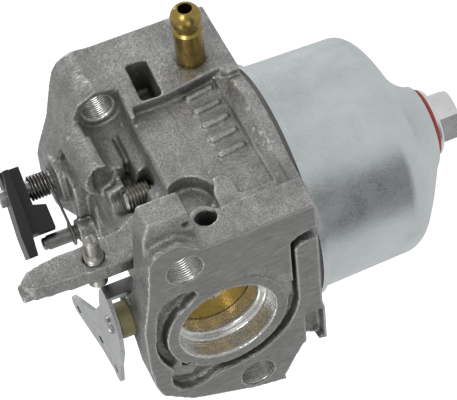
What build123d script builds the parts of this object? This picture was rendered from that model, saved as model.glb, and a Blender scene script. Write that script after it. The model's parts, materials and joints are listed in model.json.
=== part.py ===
from build123d import *
import os
from math import asin, cos, degrees, hypot, radians, sin

# Small-engine float carburetor, in millimetres.
# Origin: centre of the main bore on the engine flange face. The bore runs along Y, with -Y out of
# the engine flange; +Z is the lever side and the float bowl hangs towards -Z; +X is the fuel side.

os.makedirs("parts", exist_ok=True)

# --- driving dimensions -------------------------------------------------------------------------
body_length = 60.0            # engine face to air cleaner face
engine_flange = 8.0           # thickness
air_flange = 10.0
wall_x = 22.3                 # recessed side wall on the fuel side
deck_x = 25.0                 # top of the air cleaner block on the fuel side
rim_z = -21.8                 # underside of the casting, where the bowl seals

mouth_r, mouth_depth = 10.25, 4.7
throttle_r, venturi_r, intake_r = 8.5, 6.6, 9.4
barrel_r = 13.2

stud_centre_z = 1.15          # the two stud holes lie on a circle about this height
stud_pcd = 44.0
stud_r, far_stud_r = 3.6, 3.2   # holes in the engine flange and in the air cleaner flange
stud_turn = asin(6.22 / 22.0)
stud_x, stud_dz = stud_pcd / 2 * cos(stud_turn), stud_pcd / 2 * sin(stud_turn)
studs = [(stud_x, stud_centre_z + stud_dz), (-stud_x, stud_centre_z - stud_dz)]

throttle_y, choke_y = 10.0, 50.4
shaft_r, shaft_gap = 2.5, 0.05
throttle_closed = 2.0         # degrees from square across the bore at idle

bowl_y = 29.25
bowl_r, bowl_low_r = 24.6, 24.05
bowl_wall = 0.9
bowl_seat_z = -57.0
gasket_t = 0.8
pedestal_r = 6.2

hinge_y, hinge_z = 50.2, -25.5
pin_r = 0.75
needle_y = 46.0

screw_y, screw_z = 13.4, 21.4 # idle speed screw axis, which runs along X
finger_x0, finger_x1 = 14.4, 18.0
lever_z, lever_t = 20.6, 0.9
barb_y, barb_z = 47.2, -13.9
pin_x, pin_y = -8.0, 41.5     # choke stop pin axis
stop_pin_r = 1.6
mixture_x, mixture_y, mixture_r = 13.6, 27.5, 2.5
stud_face_y = 46.4            # near face of the air cleaner flange round the upper stud

FUEL_SIDE = Plane.YZ          # local x is +Y, local y is +Z, outwards is +X
BORE_FACE = Plane.XZ          # local x is +X, local y is +Z, outwards is -Y


def write(part, name):
    part.label = name
    export_step(part, f"parts/{name}.step")


# --- carburetor body ----------------------------------------------------------------------------
engine_outline = [
    (25.6, -20.3), (25.6, 3.4), (29.4, 8.0), (28.6, 12.4), (26.2, 14.4), (16.0, 15.6), (7.0, 17.3),
    (-4.0, 17.6), (-12.3, 16.9), (-16.2, 15.7), (-21.2, 9.4), (-25.8, -3.9), (-27.4, -12.2),
    (-17.2, -17.4), (-18.3, -20.9), (-7.4, -20.9), (-4.9, -20.3),
]
air_outline = [
    (25.0, rim_z), (25.0, 4.0), (25.5, 7.6), (24.9, 9.6), (23.8, 11.3), (21.8, 12.6), (18.5, 13.6),
    (9.4, 15.6), (2.0, 18.4), (-0.5, 19.1), (-7.6, 19.2), (-13.5, 15.6), (-22.5, 6.0),
    (-26.6, -3.0), (-26.0, -11.5), (-20.0, -17.5), (-20.0, rim_z),
]
shoulder_outline = [
    (24.6, rim_z), (24.6, 1.5), (26.0, 7.4), (23.8, 11.6), (18.6, 14.2), (9.4, 14.6), (4.0, 14.4),
    (-4.0, 13.0), (-14.0, 8.0), (-17.0, 2.0), (-17.0, rim_z),
]
wall_outline = [
    (wall_x, rim_z), (wall_x, 2.4), (19.4, 5.2), (13.6, 6.4), (-13.0, 6.4), (-16.6, 2.0),
    (-16.6, rim_z),
]
lug_outline = [(20.0, 3.6), (31.0, 3.6), (34.5, 4.6), (34.5, 12.8), (31.0, 14.0), (20.0, 14.9)]

with BuildPart() as body:
    # flanges, joined by a barrel and a boxy wall
    with BuildSketch(BORE_FACE) as flange_sketch:
        Polygon(*engine_outline, align=None)
        fillet(flange_sketch.vertices().group_by(Axis.X)[0], 1.0)
        fillet(flange_sketch.vertices().sort_by(Axis.Y)[-5:], 2.6)
    extrude(amount=-engine_flange)
    with BuildSketch(BORE_FACE.offset(-body_length)) as air_sketch:
        Polygon(*air_outline, align=None)
        fillet(air_sketch.vertices().group_by(Axis.X)[0], 3.0)
    extrude(amount=air_flange)
    with BuildSketch(BORE_FACE.offset(-body_length + air_flange)):
        Polygon(*shoulder_outline, align=None)
    extrude(amount=body_length - air_flange - stud_face_y)
    with BuildSketch(BORE_FACE.offset(-engine_flange + 1.0)):
        Polygon(*wall_outline, align=None)
    extrude(amount=-(stud_face_y - engine_flange + 2.0))
    with BuildSketch(BORE_FACE.offset(-1.0)):
        Circle(barrel_r)
    extrude(amount=-(body_length - 2.0))
    with BuildSketch(BORE_FACE.offset(-2.6)):
        Polygon(*lug_outline, align=None)
    extrude(amount=-(engine_flange - 2.2))

    # the block behind the fuel inlet stands proud of the side wall
    with BuildSketch(FUEL_SIDE.offset(10.0)):
        Polygon((41.9, rim_z), (body_length, rim_z), (body_length, 2.6), (40.4, 2.6),
                (40.2, -5.4), (41.9, -16.6), align=None)
    extrude(amount=deck_x - 10.0)
    # side wall rises to the flange, with a raised border along the bowl side
    with BuildSketch(Plane.XY.offset(-17.0)):
        Polygon((16.0, 6.0), (25.4, 6.0), (22.2, 11.2), (16.0, 11.2), align=None)
    extrude(amount=13.5)
    with BuildSketch(FUEL_SIDE.offset(wall_x - 1.0)):
        with Locations((26.0, -16.7)):
            Rectangle(33.0, 0.8)
        with Locations((26.0, -18.3)):
            Rectangle(34.0, 1.2)
    extrude(amount=1.8)

    # round skirt that carries the bowl
    with BuildSketch(Plane.XY.offset(rim_z)) as skirt_sketch:
        with Locations((0, bowl_y)):
            Circle(25.9)
        Polygon((18.2, 3.2), (25.3, 24.0), (-25.3, 24.0), (-18.2, 3.2), align=None)
        with Locations((0, body_length - 10.0)):
            Rectangle(50.0, 20.0)
    extrude(amount=2.6)
    with BuildSketch(Plane.XY.offset(rim_z + 2.6)) as skirt_top:
        with Locations((0, bowl_y)):
            Circle(25.9)
        Polygon((18.2, 3.2), (25.3, 24.0), (-25.3, 24.0), (-18.2, 3.2), align=None)
        with Locations((0, body_length - 10.5)):
            Rectangle(50.0, 19.0)
    extrude(amount=2.9, taper=42)

    # lever side: bosses of the two shafts, jet boss, deck and the long finger
    with BuildSketch(Plane.XY.offset(8.0)):
        with Locations((0, throttle_y)):
            Circle(5.6)
    extrude(amount=9.4)
    with BuildSketch(Plane.XY.offset(8.0)):
        with Locations((-0.5, 48.6)):
            RectangleRounded(10.0, 13.6, 1.6)
    extrude(amount=8.8)
    with BuildSketch(Plane.XY.offset(8.0)):
        with Locations((0, choke_y)):
            Circle(5.4)
    extrude(amount=10.6)
    with BuildSketch(Plane.XY.offset(8.0)):
        with Locations((0, choke_y)):
            Circle(4.2)
    extrude(amount=11.2)
    with BuildSketch(BORE_FACE.offset(-33.0)):
        with Locations((14.8, 11.6)):
            Circle(4.3)
    extrude(amount=-2.0, taper=-22)
    with BuildSketch(BORE_FACE.offset(-35.0)):
        with Locations((14.8, 11.6)):
            Circle(5.1)
    extrude(amount=-12.0)
    # low round bump on the deck
    with BuildSketch(Plane.XY.offset(8.6)):
        with Locations((10.6, 32.0)):
            Circle(3.8)
    extrude(amount=3.8, taper=16)
    with BuildSketch(BORE_FACE.offset(-17.0)):
        with Locations((7.6, 8.6)):
            Circle(5.0)
    extrude(amount=-22.0)
    with BuildSketch(Plane.XY.offset(8.6)):
        with Locations((pin_x, pin_y)):
            Circle(2.6)
    extrude(amount=9.2)
    with BuildSketch(BORE_FACE.offset(-38.0)):
        with Locations((-4.0, 11.4)):
            RectangleRounded(13.0, 5.0, 1.6)
    extrude(amount=-12.0)
    with BuildSketch(FUEL_SIDE.offset(finger_x0)) as finger_sketch:
        Polygon((9.8, 8.0), (21.5, 8.0), (17.6, 14.6), (17.3, 22.0), (16.8, 31.0), (15.8, 34.8),
                (14.0, 36.6), (12.4, 36.4), (11.0, 34.6), (9.8, 20.0), align=None)
        fillet(finger_sketch.vertices().sort_by(Axis.Z)[-3:], 0.9)
    extrude(amount=finger_x1 - finger_x0)
    with BuildSketch(FUEL_SIDE.offset(finger_x0)):
        with Locations((13.3, 36.3)):
            RectangleRounded(4.2, 1.6, 0.5)
    extrude(amount=1.5)
    with BuildSketch(Plane.XY.offset(4.0)):
        Polygon((9.0, 8.0), (18.0, 8.0), (18.0, 19.5), (9.0, 23.0), align=None)
    extrude(amount=7.8)
    # web between the upper stud face and the fuel side wall
    with BuildSketch(Plane.XY.offset(5.0)):
        Polygon((18.9, stud_face_y + 1.0), (14.6, 37.5), (12.5, stud_face_y + 1.0), align=None)
    extrude(amount=8.4)

    # thin ridge between the stud recess and the pocket
    with BuildSketch(FUEL_SIDE.offset(18.0)):
        Polygon((37.6, 2.2), (48.0, 0.6), (48.0, 2.6), (37.9, 4.2), align=None)
    extrude(amount=deck_x - 18.4)
    # drilled boss on the side wall and the raised pad beside it
    with BuildSketch(FUEL_SIDE.offset(15.0)):
        with Locations((7.1, -0.2)):
            Circle(3.5)
    extrude(amount=9.8)
    with BuildSketch(FUEL_SIDE.offset(wall_x - 1.0)):
        with Locations((11.6, -6.5)):
            SlotOverall(10.0, 4.6, rotation=-4)
    extrude(amount=3.0)
    with BuildSketch(FUEL_SIDE.offset(wall_x - 1.0)):
        with Locations((6.6, -12.4)):
            Rectangle(7.6, 7.6)
    extrude(amount=3.3)
    # plain raised bars across the side panel
    with BuildSketch(FUEL_SIDE.offset(wall_x - 0.5)):
        with Locations((31.0, -12.2)):
            with GridLocations(4.2, 1, 5, 1):
                SlotOverall(6.2, 1.5, rotation=98)
    extrude(amount=1.45)

    # inside of the bowl: pedestal with the jet wells, float posts and the needle guide
    with BuildSketch(Plane.XY.offset(rim_z)):
        with Locations((0, bowl_y)):
            Circle(pedestal_r)
    extrude(amount=-(abs(bowl_seat_z) - bowl_wall - 0.1 - abs(rim_z)))
    with BuildSketch(Plane.XY.offset(rim_z)):
        with Locations((0, 24.2)):
            Circle(2.7)
    extrude(amount=-20.0)
    with BuildSketch(Plane.XY.offset(rim_z)):
        with Locations((-5.5, hinge_y - 0.2), (5.5, hinge_y - 0.2)):
            Rectangle(2.6, 2.8)
    extrude(amount=-5.4)
    with BuildSketch(Plane.XY.offset(rim_z)):
        with Locations((0, needle_y)):
            Circle(3.3)
    extrude(amount=-1.4)

    # main bore: mouth, throttle bore, venturi, intake and its bell
    with BuildSketch(Plane.XY):
        with BuildLine():
            Polyline((0, -1), (mouth_r, -1), (mouth_r, mouth_depth), (throttle_r + 0.3, mouth_depth),
                     (throttle_r, mouth_depth + 0.8), (throttle_r, 19.0), (venturi_r, 25.0),
                     (venturi_r, 32.5), (intake_r, 43.0), (intake_r, body_length - 3.0),
                     (intake_r + 1.8, body_length), (intake_r + 1.8, body_length + 1), (0, body_length + 1),
                     close=True)
        make_face()
    revolve(axis=Axis.Y, mode=Mode.SUBTRACT)
    # stud holes run through both flanges, in half-open channels beside the wall
    with BuildSketch(BORE_FACE.offset(1.0)):
        with Locations(*studs):
            Circle(stud_r)
    extrude(amount=-(engine_flange + 2.0), mode=Mode.SUBTRACT)
    with BuildSketch(BORE_FACE.offset(1.0)):
        with Locations(*studs):
            Circle(far_stud_r)
    extrude(amount=-(body_length + 2.0), mode=Mode.SUBTRACT)
    with BuildSketch(BORE_FACE.offset(-engine_flange)):
        with Locations(*studs):
            Circle(stud_r + 0.6)
        with Locations((stud_x + 5.0, studs[0][1]), (-stud_x - 5.0, studs[1][1])):
            Rectangle(10.0, 2 * stud_r + 1.2)
    extrude(amount=-(stud_face_y - engine_flange), mode=Mode.SUBTRACT)
    with BuildSketch(BORE_FACE.offset(-41.5)):
        with Locations(*studs):
            Circle(4.9)
    extrude(amount=-(stud_face_y - 41.5), mode=Mode.SUBTRACT)
    # shaft bores, bush seat and seal pocket
    with BuildSketch(Plane.XY.offset(-13.0)):
        with Locations((0, throttle_y), (0, choke_y)):
            Circle(shaft_r + shaft_gap)
    extrude(amount=40.0, mode=Mode.SUBTRACT)
    with BuildSketch(Plane.XY.offset(11.0)):
        with Locations((0, throttle_y)):
            Circle(3.7)
    extrude(amount=10.0, mode=Mode.SUBTRACT)
    with BuildSketch(Plane.XY.offset(17.2)):
        with Locations((0, choke_y)):
            Circle(3.1)
    extrude(amount=3.0, mode=Mode.SUBTRACT)

    # engine face: vent channel that curls round the mouth and leaves at the bowl side
    with BuildSketch(BORE_FACE):
        Circle(15.3)
        Circle(13.1, mode=Mode.SUBTRACT)
        Polygon((0, 0), (0, -30), (30, -30), (30, 0), (27, 12.6), align=None, mode=Mode.SUBTRACT)
        Polygon((-0.6, -15.3), (14.6, -15.3), (15.8, -16.6), (16.0, -21.6), (19.4, -21.6),
                (18.2, -16.4), (17.0, -14.6), (14.6, -14.4), (-0.6, -14.4), align=None)
        Polygon((11.7, 5.9), (13.4, 6.0), (14.3, 8.6), (13.6, 11.0), (12.6, 12.9), (10.4, 14.0),
                (4.0, 15.0), (7.0, 11.5), align=None)
        Polygon((-9.2, 9.4), (-8.6, 12.4), (-10.9, 13.1), (-14.2, 13.0), (-16.4, 11.5), (-17.3, 9.2),
                (-16.9, 6.6), (-15.7, 4.0), (-15.2, 1.8), (-12.6, 3.4), (-12.0, 6.2), align=None)
    extrude(amount=-2.4, mode=Mode.SUBTRACT)
    with BuildSketch(BORE_FACE.offset(-1.2)):
        Polygon((-9.0, 12.8), (-12.6, 13.2), (-14.4, 8.4), (-12.0, 7.0), (-8.6, 10.4), align=None)
    extrude(amount=-2.0)
    with BuildSketch(BORE_FACE):
        with Locations((0.5, -1.2)):
            Circle(13.9)
        Circle(12.8, mode=Mode.SUBTRACT)
        Polygon((0, 0), (0, -30), (-30, -30), (-30, 30), (30, 30), (30, -10), align=None,
                mode=Mode.SUBTRACT)
    extrude(amount=-0.5, mode=Mode.SUBTRACT)
    # idle vacuum port, slanting drain step and tab pocket on the same face
    with BuildSketch(BORE_FACE):
        with Locations((-9.7, 9.2)):
            Circle(1.2)
    extrude(amount=-7.0, mode=Mode.SUBTRACT)
    with BuildSketch(BORE_FACE):
        with Locations((-12.6, -18.4)):
            Rectangle(9.6, 3.8)
        Polygon((-17.2, -15.6), (-17.2, -18.2), (-28.5, -12.4), (-26.2, -10.8), align=None)
    extrude(amount=-2.4, mode=Mode.SUBTRACT)
    # small square notch where the lug meets the stud boss
    with BuildSketch(BORE_FACE.offset(-2.0)):
        Polygon((29.8, 3.0), (31.4, 3.0), (31.4, 6.0), (29.8, 6.0), align=None)
    extrude(amount=-2.6, mode=Mode.SUBTRACT)

    # fuel side: deep rectangular pocket, scoop behind the drilled boss and the drilling
    with BuildSketch(FUEL_SIDE.offset(deck_x + 1.0)):
        with Locations((46.0, -2.9)):
            RectangleRounded(10.6, 4.4, 0.7, rotation=-2)
    extrude(amount=-10.0, mode=Mode.SUBTRACT)
    with BuildSketch(FUEL_SIDE.offset(deck_x + 1.0)):
        with Locations((15.8, -0.2)):
            Circle(4.9)
        with Locations((7.1, -0.2)):
            Circle(3.9, mode=Mode.SUBTRACT)
    extrude(amount=-7.4, mode=Mode.SUBTRACT)
    with BuildSketch(FUEL_SIDE.offset(deck_x + 1.0)):
        with Locations((7.1, -0.2)):
            Circle(2.2)
    extrude(amount=-12.0, mode=Mode.SUBTRACT)
    # flat-sided pocket in the end of the jet boss
    with BuildSketch(BORE_FACE.offset(-32.0)):
        with Locations((15.6, 12.4)):
            Circle(3.2)
        with Locations((15.6, 16.0)):
            Rectangle(8.0, 3.6, mode=Mode.SUBTRACT)
    extrude(amount=-1.7, mode=Mode.SUBTRACT)
    # mixture screw well, open towards the fuel side
    with BuildSketch(Plane.XY.offset(3.6)):
        with Locations((mixture_x, mixture_y)):
            Circle(mixture_r + 0.4)
        with Locations((mixture_x + 4.0, mixture_y)):
            Rectangle(8.0, 5.2)
    extrude(amount=12.0, mode=Mode.SUBTRACT)
    with BuildSketch(Plane.XY.offset(0.8)):
        with Locations((mixture_x, mixture_y)):
            Circle(1.3)
    extrude(amount=4.0, mode=Mode.SUBTRACT)
    # seats of the stop pin and the idle speed screw
    with BuildSketch(Plane.XY.offset(9.0)):
        with Locations((pin_x, pin_y)):
            Circle(stop_pin_r)
    extrude(amount=10.0, mode=Mode.SUBTRACT)
    with BuildSketch(FUEL_SIDE.offset(finger_x0 - 1.0)):
        with Locations((screw_y, screw_z)):
            Circle(2.05)
    extrude(amount=8.0, mode=Mode.SUBTRACT)

    # fuel way in: barb bore, cross drilling, seat and needle guide
    with BuildSketch(FUEL_SIDE.offset(deck_x + 1.0)):
        with Locations((barb_y, barb_z)):
            Circle(2.6)
    extrude(amount=-9.0, mode=Mode.SUBTRACT)
    with BuildSketch(FUEL_SIDE.offset(deck_x - 7.0)):
        with Locations((needle_y + 0.6, barb_z)):
            Circle(1.2)
    extrude(amount=-(deck_x - 7.0), mode=Mode.SUBTRACT)
    with BuildSketch(Plane.XY.offset(rim_z - 3.0)):
        with Locations((0, needle_y)):
            Circle(2.05)
    extrude(amount=8.6, mode=Mode.SUBTRACT)
    with BuildSketch(Plane.XY.offset(barb_z - 3.0)):
        with Locations((0, needle_y)):
            Circle(1.2)
    extrude(amount=3.0, mode=Mode.SUBTRACT)
    # float pin bore through both posts
    with BuildSketch(FUEL_SIDE.offset(-8.0)):
        with Locations((hinge_y, hinge_z)):
            Circle(pin_r)
    extrude(amount=16.0, mode=Mode.SUBTRACT)
    # nozzle well, main jet thread and bolt thread up the pedestal
    with BuildSketch(Plane.XY.offset(-60.0)):
        with Locations((0, bowl_y)):
            Circle(2.95)
    extrude(amount=19.0, mode=Mode.SUBTRACT)
    with BuildSketch(Plane.XY.offset(-41.5)):
        with Locations((0, bowl_y)):
            Circle(2.4)
    extrude(amount=40.0, mode=Mode.SUBTRACT)
    with BuildSketch(Plane.XY.offset(-45.0)):
        with Locations((0, 24.2)):
            Circle(1.5)
    extrude(amount=11.0, mode=Mode.SUBTRACT)
    with BuildSketch(Plane.XY.offset(-35.0)):
        with Locations((0, 24.2)):
            Circle(0.6)
    extrude(amount=31.0, mode=Mode.SUBTRACT)
    with BuildSketch(FUEL_SIDE.offset(-8.0)):
        with Locations((bowl_y, -42.4)):
            Circle(1.1)
    extrude(amount=16.0, mode=Mode.SUBTRACT)
    # seat of the expansion plug on the far wall
    with BuildSketch(FUEL_SIDE.offset(-17.6)):
        with Locations((30.0, -12.0)):
            Circle(4.0)
    extrude(amount=2.4, mode=Mode.SUBTRACT)

write(body.part, "carburetor_body")


# --- bowl, gasket, bolt -------------------------------------------------------------------------
def bowl_sections(inset):
    """Radius, sideways offset and height of the circles down the deep-drawn bowl."""
    rings = [
        (bowl_low_r, 0.0, -44.0), (23.2, 0.15, -46.4), (20.6, 1.0, -48.6), (17.0, 2.1, -50.6),
        (13.4, 2.2, -53.0), (10.6, 1.3, -55.2), (9.0, 0.4, bowl_seat_z),
    ]
    return [(r - inset, shift, z + inset * 0.9) for r, shift, z in rings]


lean_x, lean_y = -0.62, -0.78  # direction in which the nose of the bowl leans


def bowl_solid(inset):
    """Solid bounded by the bowl's outside, or by its inside when inset by the wall."""
    sections = bowl_sections(inset)
    low_r, _, low_z = sections[0]
    with BuildPart() as shape:
        top_z = rim_z - gasket_t
        with BuildSketch(Plane.XY.offset(top_z)):
            with Locations((0, bowl_y)):
                Circle(bowl_r - inset)
        with BuildSketch(Plane.XY.offset(low_z)):
            with Locations((0, bowl_y)):
                Circle(low_r)
        loft()
        for r, shift, z in sections:
            with BuildSketch(Plane.XY.offset(z)):
                with Locations((lean_x * shift, bowl_y + lean_y * shift)):
                    Circle(r)
        loft()
    return shape.part


bowl_outside = bowl_solid(0.0)
bowl_inside = bowl_solid(bowl_wall)
with BuildPart() as bowl:
    add(bowl_outside)
    with BuildSketch(Plane.XY.offset(rim_z - gasket_t)):
        with Locations((0, bowl_y)):
            Circle(25.5)
    extrude(amount=-1.1)
    add(bowl_inside, mode=Mode.SUBTRACT)
    with BuildSketch(Plane.XY.offset(bowl_seat_z - 1.0)):
        with Locations((0, bowl_y)):
            Circle(3.2)
    extrude(amount=4.0, mode=Mode.SUBTRACT)
write(bowl.part, "float_bowl")

with BuildPart() as gasket:
    with BuildSketch(Plane.XY.offset(rim_z)):
        with Locations((0, bowl_y)):
            Circle(25.2)
            Circle(23.7, mode=Mode.SUBTRACT)
    extrude(amount=-gasket_t)
write(gasket.part, "bowl_gasket")

washer_t, bolt_flange_t, hex_h, hex_af = 1.3, 1.0, 4.9, 10.0
with BuildPart() as washer:
    with BuildSketch(Plane.XY.offset(bowl_seat_z)):
        with Locations((0, bowl_y)):
            Circle(7.5)
            Circle(3.1, mode=Mode.SUBTRACT)
    extrude(amount=-washer_t)
write(washer.part, "bowl_bolt_washer")

bolt_seat_z = bowl_seat_z - washer_t
with BuildPart() as bolt:
    with BuildSketch(Plane.XY.offset(bolt_seat_z)):
        with Locations((0, bowl_y)):
            Circle(7.3)
    extrude(amount=-bolt_flange_t)
    chamfer(bolt.faces().sort_by(Axis.Z)[0].edges(), 0.5)
    with BuildSketch(Plane.XY.offset(bolt_seat_z - bolt_flange_t)):
        with Locations((0, bowl_y)):
            RegularPolygon(hex_af / 2, 6, major_radius=False, rotation=17)
    extrude(amount=-hex_h)
    hex_top_z = bolt_seat_z - bolt_flange_t - hex_h
    with BuildSketch(Plane.XZ.offset(-bowl_y)):
        Polygon((4.9, hex_top_z - 0.1), (6.2, hex_top_z - 0.1), (6.2, hex_top_z + 0.75), align=None)
    revolve(axis=Axis((0, bowl_y, 0), (0, 0, 1)), mode=Mode.SUBTRACT)
    with BuildSketch(Plane.XY.offset(bolt_seat_z)):
        with Locations((0, bowl_y)):
            Circle(2.9)
    extrude(amount=14.2)
    chamfer(bolt.faces().sort_by(Axis.Z)[-1].edges(), 0.6)
write(bolt.part, "bowl_bolt")


# --- jets, float and needle ---------------------------------------------------------------------
with BuildPart() as main_jet:
    with BuildSketch(Plane.XY.offset(-41.2)):
        with Locations((0, bowl_y)):
            Circle(2.4)
    extrude(amount=5.6)
    with BuildSketch(Plane.XY.offset(-41.4)):
        with Locations((0, bowl_y)):
            Circle(0.45)
    extrude(amount=7.0, mode=Mode.SUBTRACT)
    with BuildSketch(Plane.XY.offset(-41.2)):
        with Locations((0, bowl_y)):
            Rectangle(6.0, 0.7)
    extrude(amount=1.0, mode=Mode.SUBTRACT)
write(main_jet.part, "main_jet")

with BuildPart() as nozzle:
    with BuildSketch(Plane.XY.offset(-35.4)):
        with Locations((0, bowl_y)):
            Circle(2.35)
    extrude(amount=31.4)
    chamfer(nozzle.edges().group_by(Axis.Z)[-1], 0.4)
    with BuildSketch(Plane.XY.offset(-36.0)):
        with Locations((0, bowl_y)):
            Circle(1.0)
    extrude(amount=34.0, mode=Mode.SUBTRACT)
    for cross_z in (-31.0, -27.0, -23.0, -19.0):
        with BuildSketch(FUEL_SIDE.offset(-4.0)):
            with Locations((bowl_y, cross_z)):
                Circle(0.45)
        extrude(amount=8.0, mode=Mode.SUBTRACT)
write(nozzle.part, "main_nozzle")

with BuildPart() as pilot_jet:
    with BuildSketch(Plane.XY.offset(-42.4)):
        with Locations((0, 24.2)):
            Circle(1.45)
    extrude(amount=8.0)
    with BuildSketch(Plane.XY.offset(-43.0)):
        with Locations((0, 24.2)):
            Circle(0.3)
    extrude(amount=9.0, mode=Mode.SUBTRACT)
    with BuildSketch(Plane.XY.offset(-42.4)):
        with Locations((0, 24.2)):
            Rectangle(4.0, 0.6)
    extrude(amount=0.8, mode=Mode.SUBTRACT)
write(pilot_jet.part, "pilot_jet")

float_top, float_bottom = -30.0, -44.6
with BuildPart() as float_ring:
    with BuildSketch(Plane.XY.offset(float_bottom)):
        with Locations((0, bowl_y)):
            Circle(19.2)
            Circle(9.8, mode=Mode.SUBTRACT)
    extrude(amount=float_top - float_bottom)
    fillet(float_ring.edges().filter_by(GeomType.CIRCLE).group_by(Axis.Z)[0], 1.6)
    with BuildSketch(Plane.XY.offset(float_top - 0.5)):
        with Locations((0, 46.6)):
            Rectangle(7.0, 6.4)
    extrude(amount=4.2)
    with BuildSketch(FUEL_SIDE.offset(-3.8)):
        with Locations((hinge_y, hinge_z)):
            Circle(1.6)
        with Locations((hinge_y - 1.0, hinge_z - 1.6)):
            Rectangle(2.0, 1.6)
    extrude(amount=7.6)
    with BuildSketch(FUEL_SIDE.offset(-5.0)):
        with Locations((hinge_y, hinge_z)):
            Circle(pin_r + 0.06)
    extrude(amount=10.0, mode=Mode.SUBTRACT)
write(float_ring.part, "float")

with BuildPart() as hinge_pin:
    with BuildSketch(FUEL_SIDE.offset(-7.2)):
        with Locations((hinge_y, hinge_z)):
            Circle(pin_r)
    extrude(amount=14.4)
write(hinge_pin.part, "float_hinge_pin")

needle_low, needle_top = -26.15, -17.4
with BuildPart() as needle:
    with BuildSketch(Plane.XY.offset(needle_low + 1.0)):
        with Locations((0, needle_y)):
            RegularPolygon(1.95, 3, rotation=30)
    extrude(amount=5.6)
    with BuildSketch(Plane.XY.offset(needle_low)):
        with Locations((0, needle_y)):
            Circle(0.7)
    extrude(amount=1.0)
    with BuildSketch(Plane.XY.offset(needle_low + 6.6)) as neck:
        with Locations((0, needle_y)):
            Circle(1.7)
    extrude(amount=needle_top - needle_low - 6.6, taper=22)
write(needle.part, "inlet_needle")

with BuildPart() as needle_seat:
    with BuildSketch(Plane.XY.offset(-18.0)):
        with Locations((0, needle_y)):
            Circle(2.05)
            Circle(1.35, mode=Mode.SUBTRACT)
    extrude(amount=1.8)
write(needle_seat.part, "inlet_needle_seat")

barb_tip_x, barb_tube_r, barb_bulb_r = 39.3, 3.05, 3.3
with BuildPart() as barb:
    with BuildSketch(Plane.XY.offset(barb_z)):
        with BuildLine():
            Polyline(
                (deck_x - 6.0, barb_y), (deck_x - 6.0, barb_y + 2.6), (deck_x, barb_y + 2.6),
                (deck_x, barb_y + barb_tube_r), (barb_tip_x - 5.8, barb_y + barb_tube_r),
                (barb_tip_x - 5.3, barb_y + 2.5), (barb_tip_x - 4.8, barb_y + 2.5))
            ThreePointArc(
                (barb_tip_x - 4.8, barb_y + 2.5),
                (barb_tip_x - 2.5, barb_y + barb_bulb_r),
                (barb_tip_x - 0.3, barb_y + 2.3))
            Polyline((barb_tip_x - 0.3, barb_y + 2.3), (barb_tip_x, barb_y + 1.9),
                     (barb_tip_x, barb_y), (deck_x - 6.0, barb_y))
        make_face()
    revolve(axis=Axis((0, barb_y, barb_z), (1, 0, 0)))
    with BuildSketch(FUEL_SIDE.offset(deck_x - 7.0)):
        with Locations((barb_y, barb_z)):
            Circle(1.5)
    extrude(amount=30.0, mode=Mode.SUBTRACT)
write(barb.part, "fuel_inlet_barb")


# --- throttle -----------------------------------------------------------------------------------
closed_plane = Plane(origin=(0, throttle_y, 0),
                     x_dir=(cos(radians(throttle_closed)), sin(radians(throttle_closed)), 0),
                     z_dir=(sin(radians(throttle_closed)), -cos(radians(throttle_closed)), 0))
plate_t = 0.9
with BuildPart() as throttle_shaft:
    with BuildSketch(Plane.XY.offset(-12.4)):
        with Locations((0, throttle_y)):
            Circle(shaft_r)
    extrude(amount=lever_z + 12.4)
    with BuildSketch(Plane.XY.offset(lever_z)):
        with Locations((0, throttle_y)):
            Circle(1.9)
    extrude(amount=lever_t + 0.9)
    chamfer(throttle_shaft.edges().group_by(Axis.Z)[-1], 0.4)
    with BuildSketch(closed_plane):
        Rectangle(2 * shaft_r + 1.0, 2 * throttle_r)
    extrude(amount=shaft_r + 0.5, mode=Mode.SUBTRACT)
    with BuildSketch(closed_plane.offset(1.0)):
        Circle(1.25)
    extrude(amount=-5.0, mode=Mode.SUBTRACT)
write(throttle_shaft.part, "throttle_shaft")

with BuildPart() as throttle_plate:
    with BuildSketch(closed_plane):
        Circle(8.3)
        Circle(1.3, mode=Mode.SUBTRACT)
    extrude(amount=plate_t)
write(throttle_plate.part, "throttle_plate")


def plate_screw(seat_plane, reach):
    """Pan head screw, M2.5, that holds a butterfly plate to its shaft."""
    with BuildPart() as screw:
        with BuildSketch(seat_plane):
            Circle(2.1)
        extrude(amount=1.1)
        chamfer(screw.edges().group_by(Axis.Y)[0], 0.3)
        with BuildSketch(seat_plane.offset(0.6)):
            Rectangle(5.0, 0.55)
        extrude(amount=0.6, mode=Mode.SUBTRACT)
        with BuildSketch(seat_plane):
            Circle(1.2)
        extrude(amount=-reach)
    return screw.part


write(plate_screw(closed_plane.offset(plate_t), 3.0), "throttle_plate_screw")

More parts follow.
